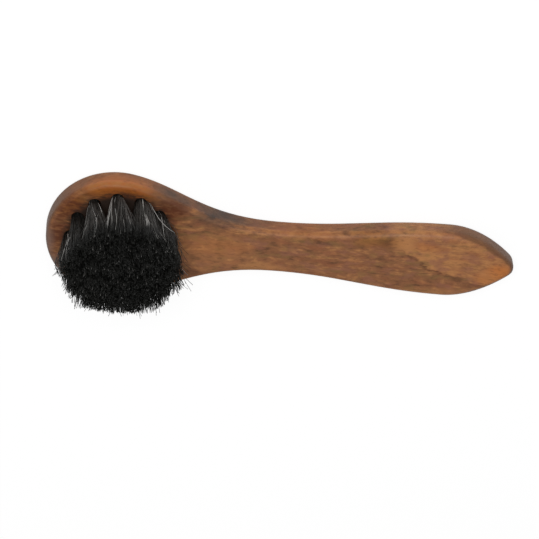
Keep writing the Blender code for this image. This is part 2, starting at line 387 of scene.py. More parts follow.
def growth_ring(finish, board):
    """How much a place lies beyond the ring, and how much it lies on the ring's dark line."""
    along = finish.math("DIVIDE", finish.math("SUBTRACT", RING_START, board.x), RING_LENGTH)
    ring = finish.math("MULTIPLY_ADD", finish.math("EXPONENT", along), RING_RISE, RING_FOOT)
    depth = finish.math("SUBTRACT", FACE_HEIGHT / MM, board.z)
    above = finish.math("SUBTRACT", finish.math("MULTIPLY_ADD", depth, RING_SLANT, board.y), ring)
    above = finish.math("ADD", above, finish.span(board.mottle, *RING_WAVER))
    on_grip = finish.span(board.x, *RING_ON_GRIP)
    beyond = finish.math("MULTIPLY", finish.span(above, *RING_BORDER), on_grip)
    line = finish.span(finish.math("ABSOLUTE", above), *LINE_WIDTH)
    for value, limits in ((board.x, LINE_START), (board.x, LINE_END), (board.streaks, LINE_BREAKS)):
        line = finish.math("MULTIPLY", line, finish.span(value, *limits))
    return beyond, line


beyond_ring, ring_line = growth_ring(wood, board)
print("the ring leaves the upper edge", RING_START, "mm along, and falls off over", RING_LENGTH, "mm")

# %% [markdown]
# ## Walnut stain
# The stain sinks in more or less deeply, so the tone is a sum of the patterns around a middle value.
# Three stains are laid out along that tone, from dark to pale, and the hue drifts a little
# towards olive, russet and rose.

# %% Stain the wood
DARK_STAIN = (0.093, 0.040, 0.018, 1.0)
MIDDLE_STAIN = (0.236, 0.096, 0.040, 1.0)
PALE_STAIN = (0.435, 0.190, 0.068, 1.0)
OLIVE_STAIN = (0.200, 0.115, 0.038, 1.0)
RUSSET_STAIN = (0.270, 0.090, 0.038, 1.0)
ROSY_STAIN = (0.245, 0.097, 0.060, 1.0)
NOISE_MIDDLE = 0.5
MIDDLE_TONE = 0.50
TONE_WEIGHTS = {"grain": 0.45, "streaks": 1.05, "bands": 0.7, "mottle": 1.15}
PALER_BEYOND = 0.28
CALMER_BEYOND = 0.62
DARK_TO_MIDDLE = (0.0, 0.5)
MIDDLE_TO_PALE = (0.45, 1.0)
HUES = (("yellow", (0.52, 0.68, 0.0, 0.45), OLIVE_STAIN),
        ("yellow", (0.48, 0.32, 0.0, 0.45), RUSSET_STAIN),
        ("blush", (0.50, 0.66, 0.0, 0.50), ROSY_STAIN))


def stain(finish, board, beyond):
    """Colour of the stained wood, before its patches."""
    tone = finish.math("MULTIPLY_ADD", beyond, PALER_BEYOND, MIDDLE_TONE)
    strength = finish.span(beyond, 0.0, 1.0, 1.0, CALMER_BEYOND)
    for name, weight in TONE_WEIGHTS.items():
        change = finish.math("SUBTRACT", getattr(board, name), NOISE_MIDDLE)
        change = finish.math("MULTIPLY", change, strength)
        tone = finish.math("MULTIPLY_ADD", change, weight, tone)
    colour = finish.mix(finish.span(tone, *DARK_TO_MIDDLE), DARK_STAIN, MIDDLE_STAIN)
    colour = finish.mix(finish.span(tone, *MIDDLE_TO_PALE), colour, PALE_STAIN)
    for name, drift, hue in HUES:
        colour = finish.mix(finish.span(getattr(board, name), *drift), colour, hue)
    return colour


stained = stain(wood, board, beyond_ring)
print("the tone sums", ", ".join(TONE_WEIGHTS), "and the hue drifts", len(HUES), "ways")

# %% [markdown]
# ## Patches in the stain
# The real board has warm, pale and dark patches, and they go where it has them. The last dark patch,
# along the lower edge of the neck, is painted shade. Each is shaped like an egg, with a middle and a
# size in millimetres and a strength. Where two of a kind overlap, the stronger counts.
# The growth ring's dark line is drawn over them.

# %% Patch the stain
ORANGE_STAIN = (0.480, 0.145, 0.028, 1.0)
# This dark brown also serves as painted shade along the lower edge of the neck.
RING_STAIN_AND_SHADE = (0.105, 0.038, 0.016, 1.0)
RING_STRENGTH = 0.75
WARM_PATCHES = (((139.5, -1, 7), (7.5, 5, 11), 0.80), ((136, -4, 7), (8, 4, 11), 0.45),
                ((36, 1, 9), (18, 6, 12), 0.22), ((68, 9, 9), (18, 3, 12), 0.25),
                ((0, 23, 9), (26, 6, 9), 0.65), ((-18, 17, 5), (9, 9, 7), 0.55),
                ((111, 8, 9), (7, 3, 5), 0.25))
PALE_PATCHES = (((122, -13, 7), (26, 5, 9), 0.5), ((103.5, 8.5, 9), (6.5, 5, 6), 0.80),
                ((36, -1, 9), (19, 12, 9), 0.28), ((90, 8, 9), (8, 3, 5), 0.38),
                ((53, -6.5, 9), (15, 3, 5), 0.60), ((136, -2, 9), (7, 4, 5), 0.35))
# The last dark patch, along the lower edge of the neck, is painted shade; the others are stain.
DARK_PATCHES_AND_SHADE = (((124.5, -5, 9), (3.5, 1.8, 5), 0.55), ((130, -7.5, 9), (5, 1.4, 5), 0.45),
                ((96, 8.5, 9), (2.8, 2.5, 5), 0.25), ((28, -11.5, 8.5), (10, 3, 5), 0.55))


def patches(finish, board, layout):
    """How strongly a place is marked by the egg-shaped patches of a layout."""
    strongest = 0.0
    for middle, size, strength in layout:
        patch = finish.math("MULTIPLY", finish.spot(board.place, middle, size), strength)
        strongest = finish.math("MAXIMUM", strongest, patch)
    return strongest


def patched(finish, board, colour, line):
    """The stain with its patches and the line of the growth ring."""
    colour = finish.mix(patches(finish, board, WARM_PATCHES), colour, ORANGE_STAIN)
    colour = finish.mix(patches(finish, board, PALE_PATCHES), colour, PALE_STAIN)
    colour = finish.mix(patches(finish, board, DARK_PATCHES_AND_SHADE), colour, RING_STAIN_AND_SHADE)
    return finish.mix(finish.math("MULTIPLY", line, RING_STRENGTH), colour, RING_STAIN_AND_SHADE)


marked = patched(wood, board, stained, ring_line)
print("patches in the stain:", len(WARM_PATCHES + PALE_PATCHES + DARK_PATCHES_AND_SHADE))

# %% [markdown]
# ## Rubbed edges with painted highlight, dark walls
# The rounded edges are lighter in broken stretches: partly stain rubbed thin by handling, and partly
# a painted highlight where the rounding turns to the light. The walls are darker below a wavering
# height, and the end grain, which soaks up stain most, darker still.
# Each is one more layer over the stain. Where it goes follows from the way the surface faces
# or from the place, and the patterns break its border up so that it never looks sprayed on.

# %% Wear the wood
RUBBED_AND_LIT_EDGE = (0.355, 0.145, 0.047, 1.0)
WALL_DARKER_BROWN = (0.100, 0.043, 0.020, 1.0)
END_GRAIN_STAIN = (0.105, 0.048, 0.024, 1.0)
FLECKS = (0.54, 0.70)
FLECK_STRENGTH = 0.32
EDGE_OFF_WALL = (0.02, 0.16)
EDGE_OFF_FACE = (0.995, 0.86)
RUB_AND_LIGHT_BREAKS = (0.38, 0.62, 0.10, 0.70)
RUB_AND_LIGHT_ALONG = (96.0, 110.0, 1.0, 0.25)
WALL_TOP = (108.0, 128.0, 6.4, 8.5)
WALL_WAVER = (0.3, 0.7, -0.25, 0.25)
WALL_BORDER = (0.25, -0.35)
WALL_BY_HEAD = (14.0, 34.0, 0.22, 0.42)
WALL_PAST_NECK = (48.0, 66.0, 0.0, 0.34)
WALL_BY_TIP = (110.0, 128.0, 0.0, 0.62)
END_GRAIN = (0.25, 0.9, 0.0, 0.85)


def wear_and_edge_light(finish, board, colour, flecks):
    """The colour with its flecks, rubbed edges with a painted highlight, and darker walls."""
    colour = finish.mix(finish.math("MULTIPLY", flecks, FLECK_STRENGTH), colour, DARK_STAIN)
    # Lighter rounded edges: partly rubbed stain, partly a painted highlight on the rounding.
    rubbed_and_lit = finish.span(board.flat, *EDGE_OFF_WALL)
    rubbed_and_lit = finish.math("MULTIPLY", rubbed_and_lit, finish.span(board.flat, *EDGE_OFF_FACE))
    rubbed_and_lit = finish.math("MULTIPLY", rubbed_and_lit, finish.span(board.streaks, *RUB_AND_LIGHT_BREAKS))
    rubbed_and_lit = finish.math("MULTIPLY", rubbed_and_lit, finish.span(board.x, *RUB_AND_LIGHT_ALONG))
    colour = finish.mix(rubbed_and_lit, colour, RUBBED_AND_LIT_EDGE)
    # The walls are darker below a wavering height, more so near the head and towards the tip.
    wall_top = finish.span(board.x, *WALL_TOP)
    wall_top = finish.math("ADD", wall_top, finish.span(board.mottle, *WALL_WAVER))
    wall = finish.span(finish.math("SUBTRACT", board.z, wall_top), *WALL_BORDER)
    strength = finish.span(board.x, *WALL_BY_HEAD)
    strength = finish.math("SUBTRACT", strength, finish.span(board.x, *WALL_PAST_NECK))
    strength = finish.math("ADD", strength, finish.span(board.x, *WALL_BY_TIP))
    colour = finish.mix(finish.math("MULTIPLY", wall, strength), colour, WALL_DARKER_BROWN)
    return finish.mix(finish.span(board.end_on, *END_GRAIN), colour, END_GRAIN_STAIN)


fleck_share = wood.span(board.flecks, *FLECKS)
worn_and_lit = wear_and_edge_light(wood, board, marked, fleck_share)
print("the worn wood takes", len(wood.tree.nodes), "nodes")

# %% [markdown]
# ## Amber glaze, painted shade and painted sheen
# Years of use have left more layers. An amber glaze lies on the upper rim of the head and the grip.
# Painted shade darkens the hollow of the neck, and the wood between the tufts and, in broken
# stretches, round them, where the hair keeps the light off. The wood near the hair is painted a
# reddish shade, and a painted grey sheen lies on the end of the head.
# The layers round the hair are wide spots over the whole field. Each has a size, and a core
# in which it is at its full strength.

# %% Dirty the wood
# Painted light among these colours: shade in the neck's hollow, reddish shade near the hair,
# near-black shade between the tufts, and a grey sheen on the end of the head.
NECK_SHADE = (0.058, 0.038, 0.029, 1.0)
AMBER_GLAZE = (0.70, 0.60, 0.30, 1.0)
GREY_SHEEN = (0.165, 0.108, 0.090, 1.0)
RED_SHADE = (0.100, 0.027, 0.008, 1.0)
TUFT_SHADE = (0.020, 0.011, 0.007, 1.0)
NECK_SHADE_PATCHES = (((38, 13, 5), (17, 6, 11), 1.0), ((20, 20, 6.5), (15, 8, 7), 0.75))
GREY_SHEEN_PATCHES = (((-25, -4, 8.5), (5, 12, 6), 0.70), ((-21.5, -12.5, 8.5), (4.5, 6.5, 6), 0.80))
AMBER_PATCHES = (((0, 21, 10), (30, 7, 4), 1.0), ((-16, 15, 10), (11, 9, 4), 0.7),
                 ((92, 9, 9), (14, 5, 6), 0.6))
RED_SHADE_PATCHES = (((-16, 14, 9), (7, 7, 5), 1.0), ((-20, 2, 9.5), (6, 13, 2.5), 1.0),
               ((-19, 11, 9.5), (5, 6, 3), 1.0), ((19, 15, 9), (9, 7, 5), 1.0))
FIELD_MIDDLE = (1.6, 0.8, 9.0)
RED_SHADE_FIELD = ((21.8, 21.8, 8), 0.80)
TUFT_SHADE_FIELD = ((20.4, 20.4, 5), 0.84)
BROKEN_SHADE_FIELD = ((22.0, 22.0, 5), 0.86)
NECK_SHADE_BREAKS = (0.30, 0.60, 0.95, 0.65)
RED_WAVER = (0.3, 0.7, -0.04, 0.04)
RED_BREAKS = (0.40, 0.62, 0.95, 0.58)
SHADE_BREAKS = (0.40, 0.55, 0.10, 0.78)


def dirty_and_shade(finish, board, colour):
    """The colour under its amber glaze, painted shade and painted grey sheen."""
    colour = finish.mix(patches(finish, board, AMBER_PATCHES), colour, AMBER_GLAZE, "MULTIPLY")
    # Painted shade in the hollow of the neck, broken up by the mottling.
    neck_shading = patches(finish, board, NECK_SHADE_PATCHES)
    neck_shading = finish.math("MULTIPLY", neck_shading, finish.span(board.mottle, *NECK_SHADE_BREAKS))
    colour = finish.mix(neck_shading, colour, NECK_SHADE)
    # Painted reddish shade on the wood near the hair.
    ring = finish.spot(board.place, FIELD_MIDDLE, *RED_SHADE_FIELD)
    ring = finish.math("ADD", ring, finish.span(board.bands, *RED_WAVER))
    red_shading = finish.math("MAXIMUM", ring, patches(finish, board, RED_SHADE_PATCHES))
    red_shading = finish.math("MULTIPLY", red_shading, finish.span(board.streaks, *RED_BREAKS))
    colour = finish.mix(red_shading, colour, RED_SHADE)
    # Painted grey sheen on the end of the head.
    colour = finish.mix(patches(finish, board, GREY_SHEEN_PATCHES), colour, GREY_SHEEN)
    # Painted near-black shade between and round the tufts, where the hair keeps the light off.
    tuft_shading = finish.spot(board.place, FIELD_MIDDLE, *TUFT_SHADE_FIELD)
    broken_shading = finish.spot(board.place, FIELD_MIDDLE, *BROKEN_SHADE_FIELD)
    broken_shading = finish.math("MULTIPLY", broken_shading, finish.span(board.flecks, *SHADE_BREAKS))
    return finish.mix(finish.math("MAXIMUM", tuft_shading, broken_shading), colour, TUFT_SHADE)


dirtied_and_shaded_wood = dirty_and_shade(wood, board, worn_and_lit)
print("patches over the stain:", len(NECK_SHADE_PATCHES + AMBER_PATCHES + GREY_SHEEN_PATCHES + RED_SHADE_PATCHES))

# %% [markdown]
# ## Satin lacquer
# A thin satin lacquer lies over everything. It is a little duller near the head, where hands
# and polish have been, and the open grain shows through it as faint furrows, made with a bump.

# %% Lacquer the wood
SATIN = (0.3, 0.7, 0.54, 0.45)
DULLER_HEAD = (88.0, 104.0, 0.10, 0.0)
LACQUER_SHINE = 0.27
COAT_SHARE = 0.05
COAT_ROUGHNESS = 0.30
FLECK_SINK = -0.5
GRAIN_BUMP = 0.25
GRAIN_RELIEF = 0.05 * MM


def lacquer(finish, board, colour, flecks):
    """Satin gloss over the colour, with the grain standing a little proud."""
    gloss = finish.span(board.streaks, *SATIN)
    gloss = finish.math("ADD", gloss, finish.span(board.x, *DULLER_HEAD))
    relief = finish.math("MULTIPLY_ADD", flecks, FLECK_SINK, board.streaks)
    return finish.use(Base_Color=colour, Roughness=gloss, Specular_IOR_Level=LACQUER_SHINE,
                      Coat_Weight=COAT_SHARE, Coat_Roughness=COAT_ROUGHNESS,
                      Normal=finish.bump(relief, GRAIN_BUMP, GRAIN_RELIEF))


stock.data.materials.clear()
stock.data.materials.append(lacquer(wood, board, dirtied_and_shaded_wood, fleck_share))
print("the wood's finish has", len(wood.tree.nodes), "nodes")

# %% [markdown]
# ## One hair
# A tuft is a pinch of horsehair folded in half over the wire, so each hair shows both its ends.
# A hair is a rod: a three-cornered ring, closed and drawn up again and again by extrusion.
# It is modelled once, one unit long, and each copy is later bent along its own path.
# Three sides and smooth shading are enough for a rod that is thinner than a pixel.

# %% Model one hair
HAIR_SIDES = 3
FREE_STEPS = 8
LEG_RINGS = 2 + FREE_STEPS
HAIR_RINGS = 2 * LEG_RINGS + 1


def model_hair():
    """A straight closed rod from z = 0 to z = 1."""
    deselect_all()
    bpy.ops.mesh.primitive_circle_add(vertices=HAIR_SIDES, radius=1.0, fill_type="NGON")
    rod = bpy.context.object
    step = 1.0 / (HAIR_RINGS - 1)
    bpy.ops.object.mode_set(mode="EDIT")
    bpy.ops.mesh.select_all(action="SELECT")
    for _ring in range(HAIR_RINGS - 1):
        bpy.ops.mesh.extrude_region_move(TRANSFORM_OT_translate={"value": (0, 0, step)})
    bpy.ops.mesh.select_all(action="SELECT")
    bpy.ops.mesh.normals_make_consistent(inside=False)
    bpy.ops.object.mode_set(mode="OBJECT")
    return rod


rod = model_hair()
rod_corners = np.array([corner.co for corner in rod.data.vertices])
rod_faces = [tuple(face.vertices) for face in rod.data.polygons]
rod_rings = np.rint(rod_corners[:, 2] * (HAIR_RINGS - 1)).astype(int)
bpy.data.objects.remove(rod)
print("one hair:", len(rod_corners), "corners,", len(rod_faces), "faces")

# %% [markdown]
# ## Where the tufts stand
# Each wire lies across the middle of its hole, so the box of its solid tells where the hole is.
# The tufts fan and lean away from the middle of them all.

# %% Find the holes


def tuft_places():
    """Middle of every drilled hole, from the box of the wire that lies across it."""
    places = []
    for name in anchor_names:
        low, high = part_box(name)
        places.append(((low + high) / 2).to_2d())
    return places


places = tuft_places()
field_centre = sum(places, Vector((0.0, 0.0))) / len(places)
print("hair field centre, mm:", [round(value / MM, 2) for value in field_centre])

# %% [markdown]
# ## The roots of a tuft
# The hairs stand close together in rows, on one side of the wire, and each comes up again
# at the same place on its other side. The bundle isn't quite round: its rim has shallow gaps.
# The roots are then shared out among strands, groups of neighbours that later sway as one.

# %% Lay out the roots
ROOT_SPACING = 0.146 * MM
ROOT_SHIFT_SHARE = 0.06
ROOT_RADIUS = 2.05 * MM
WIRE_CLEAR = 0.32 * MM
RIM_NOTCHES = 9
RIM_GAP = 0.60 * MM
STRANDS = 16


def root_grid(rng):
    """Places of the hairs' first legs, on one side of the wire, relative to the hole's middle."""
    rows = np.arange(WIRE_CLEAR, ROOT_RADIUS, ROOT_SPACING * math.sin(math.pi / 3))
    columns = np.arange(-ROOT_RADIUS, ROOT_RADIUS, ROOT_SPACING)
    grid = []
    for index, y in enumerate(rows):
        offset = ROOT_SPACING / 2 * (index % 2)
        grid += [(x + offset, y) for x in columns if math.hypot(x + offset, y) < ROOT_RADIUS]
    grid = np.array(grid)
    grid += rng.normal(0.0, ROOT_SPACING * ROOT_SHIFT_SHARE, grid.shape)
    rims = ROOT_RADIUS - rng.uniform(0.0, RIM_GAP, RIM_NOTCHES)
    turns = np.arctan2(grid[:, 1], grid[:, 0]) / math.pi * RIM_NOTCHES
    notches = np.clip(turns.astype(int), 0, RIM_NOTCHES - 1)
    return grid[np.linalg.norm(grid, axis=1) < rims[notches]]


def share_out(rng, points, groups):
    """Number of the group of each point: the group whose first member lies nearest."""
    first = points[rng.choice(len(points), groups, replace=False)]
    return np.argmin(((points[:, None, :] - first[None, :, :]) ** 2).sum(axis=2), axis=1)


print(f"roots: {ROOT_SPACING / MM:.3f} mm apart in {2 * ROOT_RADIUS / MM:.1f} mm, {STRANDS} strands")

# %% [markdown]
# ## The tips of a tuft
# Above the face the hairs fan out, so that neighbouring tufts mix and the field looks filled.
# A round fan would leave gaps where several tufts meet, so each fan is a rounded square.

# %% Fan the tips out
TIP_SPREAD = np.array([3.7, 5.3]) * MM
TIP_SQUARENESS = 4.0


def fanned(roots, rim):
    """Tips fanned over a rounded square that faces away from the middle of the field."""
    outward = np.array(rim.normalized())
    sideways = np.array([-outward[1], outward[0]])
    turned = np.stack([roots @ outward, roots @ sideways], axis=1) / ROOT_RADIUS
    round_reach = np.linalg.norm(turned, axis=1)
    square_reach = (np.abs(turned) ** TIP_SQUARENESS).sum(axis=1) ** (1 / TIP_SQUARENESS)
    turned *= TIP_SPREAD * (round_reach / square_reach)[:, None]
    return turned[:, :1] * outward + turned[:, 1:] * sideways


print("a fan reaches, mm:", TIP_SPREAD[0] / MM, "outwards and", TIP_SPREAD[1] / MM, "sideways")

# %% [markdown]
# ## Locks
# Hair that has held polish sticks together in locks. Tips that lie close are given one lock,
# whose middle wanders a little from theirs, and later they are drawn towards it.

# %% Gather the tips in locks
LOCKS = 40
LOCK_WANDER = 0.55 * MM


def gather_locks(rng, tips):
    """Middle of the lock that each tip belongs to, and the lock's number."""
    nearest = share_out(rng, tips, LOCKS)
    middles = np.array([tips[nearest == lock].mean(axis=0) for lock in range(LOCKS)])
    middles += rng.normal(0.0, LOCK_WANDER, middles.shape)
    return middles[nearest], nearest


print("locks in a tuft:", LOCKS)

# %% [markdown]
# ## The last cut
# The shears trimmed all tips to one gently domed height. Use has made the locks uneven,
# and a few hairs are too short to reach the cut.

# %% Trim the tips
TRIM_HEIGHT = 28.5 * MM
TRIM_DOME = 0.6 * MM
TRIM_UNEVENNESS = 0.30 * MM
SHORT_SHARE = 0.05
SHORT_BY = 4 * MM


def trimmed(rng, lock_numbers):
    """How far each tip stands above or below the cut: by its lock, by itself, and if it is short."""
    count = len(lock_numbers)
    heights = rng.normal(0.0, TRIM_UNEVENNESS, LOCKS)[lock_numbers]
    heights = heights + rng.normal(0.0, TRIM_UNEVENNESS, count)
    return heights - np.where(rng.random(count) < SHORT_SHARE, rng.uniform(0, SHORT_BY, count), 0)


print(f"the cut is {(TRIM_HEIGHT - FACE_HEIGHT) / MM:.1f} mm above the face")

# %% [markdown]
# ## Wild hairs
# Some hairs stray out of the field. Most of them stray only a little and few go far,
# and a hair strays further the nearer it stands to the edge of the field.

# %% Let wild hairs stray
FIELD_RADIUS = 17.6 * MM
WILD_TURN = 0.7
WILD_REACH = (0.4 * MM, 3.4 * MM)
WILD_RARITY = 3.0
WILD_BY_PLACE = (0.3, 1.2)


def strayed(rng, outward, far, wild):
    """How far the wild hairs stray, and the direction that each hair would take."""
    turn = rng.normal(0.0, WILD_TURN, len(far))
    direction = outward / np.maximum(far, MM)[:, None]
    swung = np.stack([direction[:, 0] * np.cos(turn) - direction[:, 1] * np.sin(turn),
                      direction[:, 0] * np.sin(turn) + direction[:, 1] * np.cos(turn)], axis=1)
    least, most = WILD_REACH
    reach = least + (most - least) * rng.random(len(far)) ** WILD_RARITY
    reach *= wild * np.clip(far / FIELD_RADIUS, *WILD_BY_PLACE) ** 2
    return reach, swung


print("wild hairs stray, mm:", [round(reach / MM, 1) for reach in WILD_REACH])

# %% [markdown]
# ## The shape of the field
# Each tuft's tips stand round a middle of their own. The whole field leans a little,
# and its lower edge in the picture is pressed a little flat.

# %% Place the tips
TIP_RING_SHARE = Vector((1.03, 0.90))
LOCK_PULL = 0.74
HAIR_WANDER = 0.95 * MM
TIP_SCATTER = 0.24 * MM
WILD_LOOSENESS = 3.0
WILD_DROP = 0.5
LOCK_CURL = 0.6 * MM
HAIR_CURL = 0.4 * MM
FIELD_SHEAR = 0.05
FIELD_LEAN = Vector((1.1, -1.5)) * MM
LOWER_EDGE = 16.6 * MM
LOWER_PRESS = 0.70


def tip_places(rng, roots, middle, wild):
    """Where the legs end beside their hole and in height, and how they curl and stray."""
    rim = Vector(middle) - field_centre
    loose = np.where(wild, WILD_LOOSENESS, 1.0)[:, None]
    tips = fanned(roots, rim)
    locks, lock_numbers = gather_locks(rng, tips + rng.normal(0.0, HAIR_WANDER, roots.shape))
    scatter = rng.normal(0.0, TIP_SCATTER, roots.shape) * loose
    tips = tips + (locks - tips) * LOCK_PULL + scatter
    tips = tips + np.array(rim * TIP_RING_SHARE)
    tips[:, 0] += FIELD_SHEAR * tips[:, 1]
    tips += np.array(FIELD_LEAN - rim)
    past_edge = np.minimum(tips[:, 1] + middle.y + LOWER_EDGE, 0.0)
    tips[:, 1] -= past_edge * LOWER_PRESS
    heights = trimmed(rng, lock_numbers)
    outward = tips + np.array(rim)
    far = np.linalg.norm(outward, axis=1)
    heights -= TRIM_DOME * (far / FIELD_RADIUS) ** 2
    reach, swung = strayed(rng, outward, far, wild)
    curls = rng.normal(0.0, LOCK_CURL, (LOCKS, 2))[lock_numbers]
    curls = curls + rng.normal(0.0, HAIR_CURL, roots.shape)
    return tips, TRIM_HEIGHT + heights - reach * WILD_DROP, curls, swung * reach[:, None]


farthest = max((middle - field_centre).length for middle in places)
print(f"the outermost tuft stands {farthest / MM:.1f} mm from the middle of the field")

# %% [markdown]
# ## The path of one leg
# A leg rises straight out of its hole. The outermost hairs then flare over the edge of the hole,
# as a packed bundle does, and the leg opens towards its tip. Each strand sways as one,
# and its hairs waver a little on their own.

# %% Draw a leg of every hair
FOLD_LEVEL = 4.20 * MM
FLARE = 0.42 * MM
FLARE_MOST = 1.0 * MM
FLARE_VARIETY = (0.6, 1.2)
FLARE_POWER = 3
FLARE_SHARE = 0.13
STRAND_WAVE = 0.32 * MM
HAIR_WAVE = 0.18 * MM
SPREAD_POWER = 1.3
CURL_POWER = 4.0
WILD_POWER = 2.2


def flared(rng, roots, strands):
    """How far each hair leans out of its hole at first: the outermost hairs lean furthest."""
    far = np.linalg.norm(roots, axis=1)[:, None]
    size = np.minimum(rng.exponential(FLARE, (STRANDS, 1))[strands], FLARE_MOST)
    size = size * rng.uniform(*FLARE_VARIETY, (len(roots), 1))
    return roots / far * size * (far / ROOT_RADIUS) ** FLARE_POWER


def leg_paths(rng, roots, middle, strands, wild, looseness):
    """Points of one leg of each hair, from beside the wire up to the tip."""
    tips, tops, curls, astray = tip_places(rng, roots, middle, wild)
    flares = flared(rng, roots, strands)
    waves = rng.normal(0.0, STRAND_WAVE, (2, STRANDS, 2))[:, strands]
    waves += rng.normal(0.0, HAIR_WAVE, waves.shape) * looseness[:, None]
    points = np.zeros((len(roots), LEG_RINGS, 3))
    points[:, :2, :2] = roots[:, None]
    points[:, 0, 2] = FOLD_LEVEL
    points[:, 1, 2] = FACE_HEIGHT
    for step in range(1, FREE_STEPS + 1):
        share = 0.5 - 0.5 * math.cos(math.pi * step / FREE_STEPS)
        opened = 1 - (1 - share) ** SPREAD_POWER
        flare = share / FLARE_SHARE * math.exp(1 - share / FLARE_SHARE)
        sway = waves[0] * math.sin(math.pi * share) + waves[1] * math.sin(2 * math.pi * share)
        bend = curls * (share ** CURL_POWER - share) + astray * share ** WILD_POWER
        sway += bend + flares * flare
        points[:, 1 + step, :2] = roots + (tips - roots) * opened + sway
        points[:, 1 + step, 2] = FACE_HEIGHT + (tops - FACE_HEIGHT) * share
    return points


print("points on a leg:", LEG_RINGS, "of which", FREE_STEPS, "lie above the face")

# %% [markdown]
# ## The fold
# Inside the hole each hair runs down beside the wire, under it, and up on its other side.
# Hairs further from the wire lie deeper, so the folds nest like stacked bowls.

# %% Fold the hairs under the wire
FOLD_DEPTH = (0.25 * MM, 0.80 * MM)


def folded_paths(rng, roots, middle, strands, wild, looseness):
    """Whole paths: down one leg's points, round the fold, and up the other leg's."""
    mirrored = roots * np.array([1.0, -1.0])
    first = leg_paths(rng, roots, middle, strands, wild, looseness)
    second = leg_paths(rng, mirrored, middle, strands, wild, looseness)
    depth = (np.abs(roots[:, 1]) - WIRE_CLEAR) / (ROOT_RADIUS - WIRE_CLEAR)
    fold = np.zeros((len(roots), 1, 3))
    fold[:, 0, 0] = roots[:, 0]
    shallow, deep = FOLD_DEPTH
    fold[:, 0, 2] = FOLD_LEVEL - shallow - (deep - shallow) * depth
    paths = np.concatenate([first[:, ::-1], fold, second], axis=1)
    paths[:, :, :2] += np.array(middle)
    return paths


print(f"the deepest fold is {(FACE_HEIGHT - FOLD_LEVEL + FOLD_DEPTH[1]) / MM:.1f} mm down the hole")

# %% [markdown]
# ## A shade for every hair
# Just over half of the strands are black and the others brown, and each hair differs a little
# from its strand. Thin grey strands stand at the outward side of most tufts, and a fifth
# of the wild hairs are palest of all.

# %% Choose the shades
BROWN_SHARE = 0.45
BLACK_SHADES = (0.0, 0.12)
BROWN_SHADES = (0.25, 0.55)
SHADE_VARIETY = (0.6, 1.2)
GREY_TURNS = (-1.25, -0.15, 0.95)
GREY_TURN_SPREAD = 0.25
GREY_SHARE = 0.6
GREY_ROOT_SHARE = 0.86
GREY_STRAND_RADIUS = 0.23 * MM
GREY_FROM = 0.7
GREY_VARIETY = (0.0, 0.1)
PALE_WILD_SHARE = 0.20


def hair_shades(rng, roots, rim, strands, wild):
    """0 for a black hair, about a half for a brown one, and up to 1 for a grey one."""
    strand_shades = rng.uniform(*BLACK_SHADES, STRANDS)
    brown = rng.random(STRANDS) < BROWN_SHARE
    strand_shades[brown] = rng.uniform(*BROWN_SHADES, brown.sum())
    shades = strand_shades[strands] * rng.uniform(*SHADE_VARIETY, len(roots))
    outward = math.atan2(rim.y, rim.x)
    turns = rng.normal(GREY_TURNS, GREY_TURN_SPREAD) + outward
    for turn in turns[rng.random(len(turns)) < GREY_SHARE]:
        heart = np.array([math.cos(turn), abs(math.sin(turn))]) * ROOT_RADIUS * GREY_ROOT_SHARE
        grey = np.linalg.norm(roots - heart, axis=1) < GREY_STRAND_RADIUS
        shades[grey] = rng.uniform(GREY_FROM, 1.0) - rng.uniform(*GREY_VARIETY, grey.sum())
    pale = wild & (rng.random(len(roots)) < PALE_WILD_SHARE)
    shades[pale] = 1.0
    return shades


print(f"strands: {BROWN_SHARE:.0%} brown, up to {len(GREY_TURNS)} grey ones in a tuft")

# %% [markdown]
# ## Bending the copies
# Each ring of the straight rod is carried to its point on the path and turned square to it.
# All hairs of a tuft are bent at once with arrays, because bending thousands of separate copies
# one by one would be slow and give the same shapes.

# %% Bend a hair along every path
HAIR_RADIUS = (0.066 * MM, 0.100 * MM)


def bend_rods(paths, radii):
    """Corners of the rod, carried along every path."""
    ahead = np.gradient(paths, axis=1)
    ahead /= np.linalg.norm(ahead, axis=2, keepdims=True)
    across = np.array([1.0, 0.0, 0.0]) - ahead[:, :, :1] * ahead
    across /= np.linalg.norm(across, axis=2, keepdims=True)
    beside = np.cross(ahead, across)
    offsets = (rod_corners[None, :, 0:1] * across[:, rod_rings]
               + rod_corners[None, :, 1:2] * beside[:, rod_rings])
    corners = paths[:, rod_rings] + radii[:, None, None] * offsets
    return corners.reshape(-1, 3)


print("a hair is", [round(2 * radius / MM, 2) for radius in HAIR_RADIUS], "mm thick")

# %% [markdown]
# ## Filling the holes
# A whole tuft is one mesh, which rides on the brush and takes the place of its plain solid.
# Grey hairs are thicker and straighter than the others.

# %% Put a tuft in every hole
HAIR_SEED = 300
WILD_SHARE = 0.12
GREY_THICKER = 1.25
GREY_STIFFNESS = 0.35


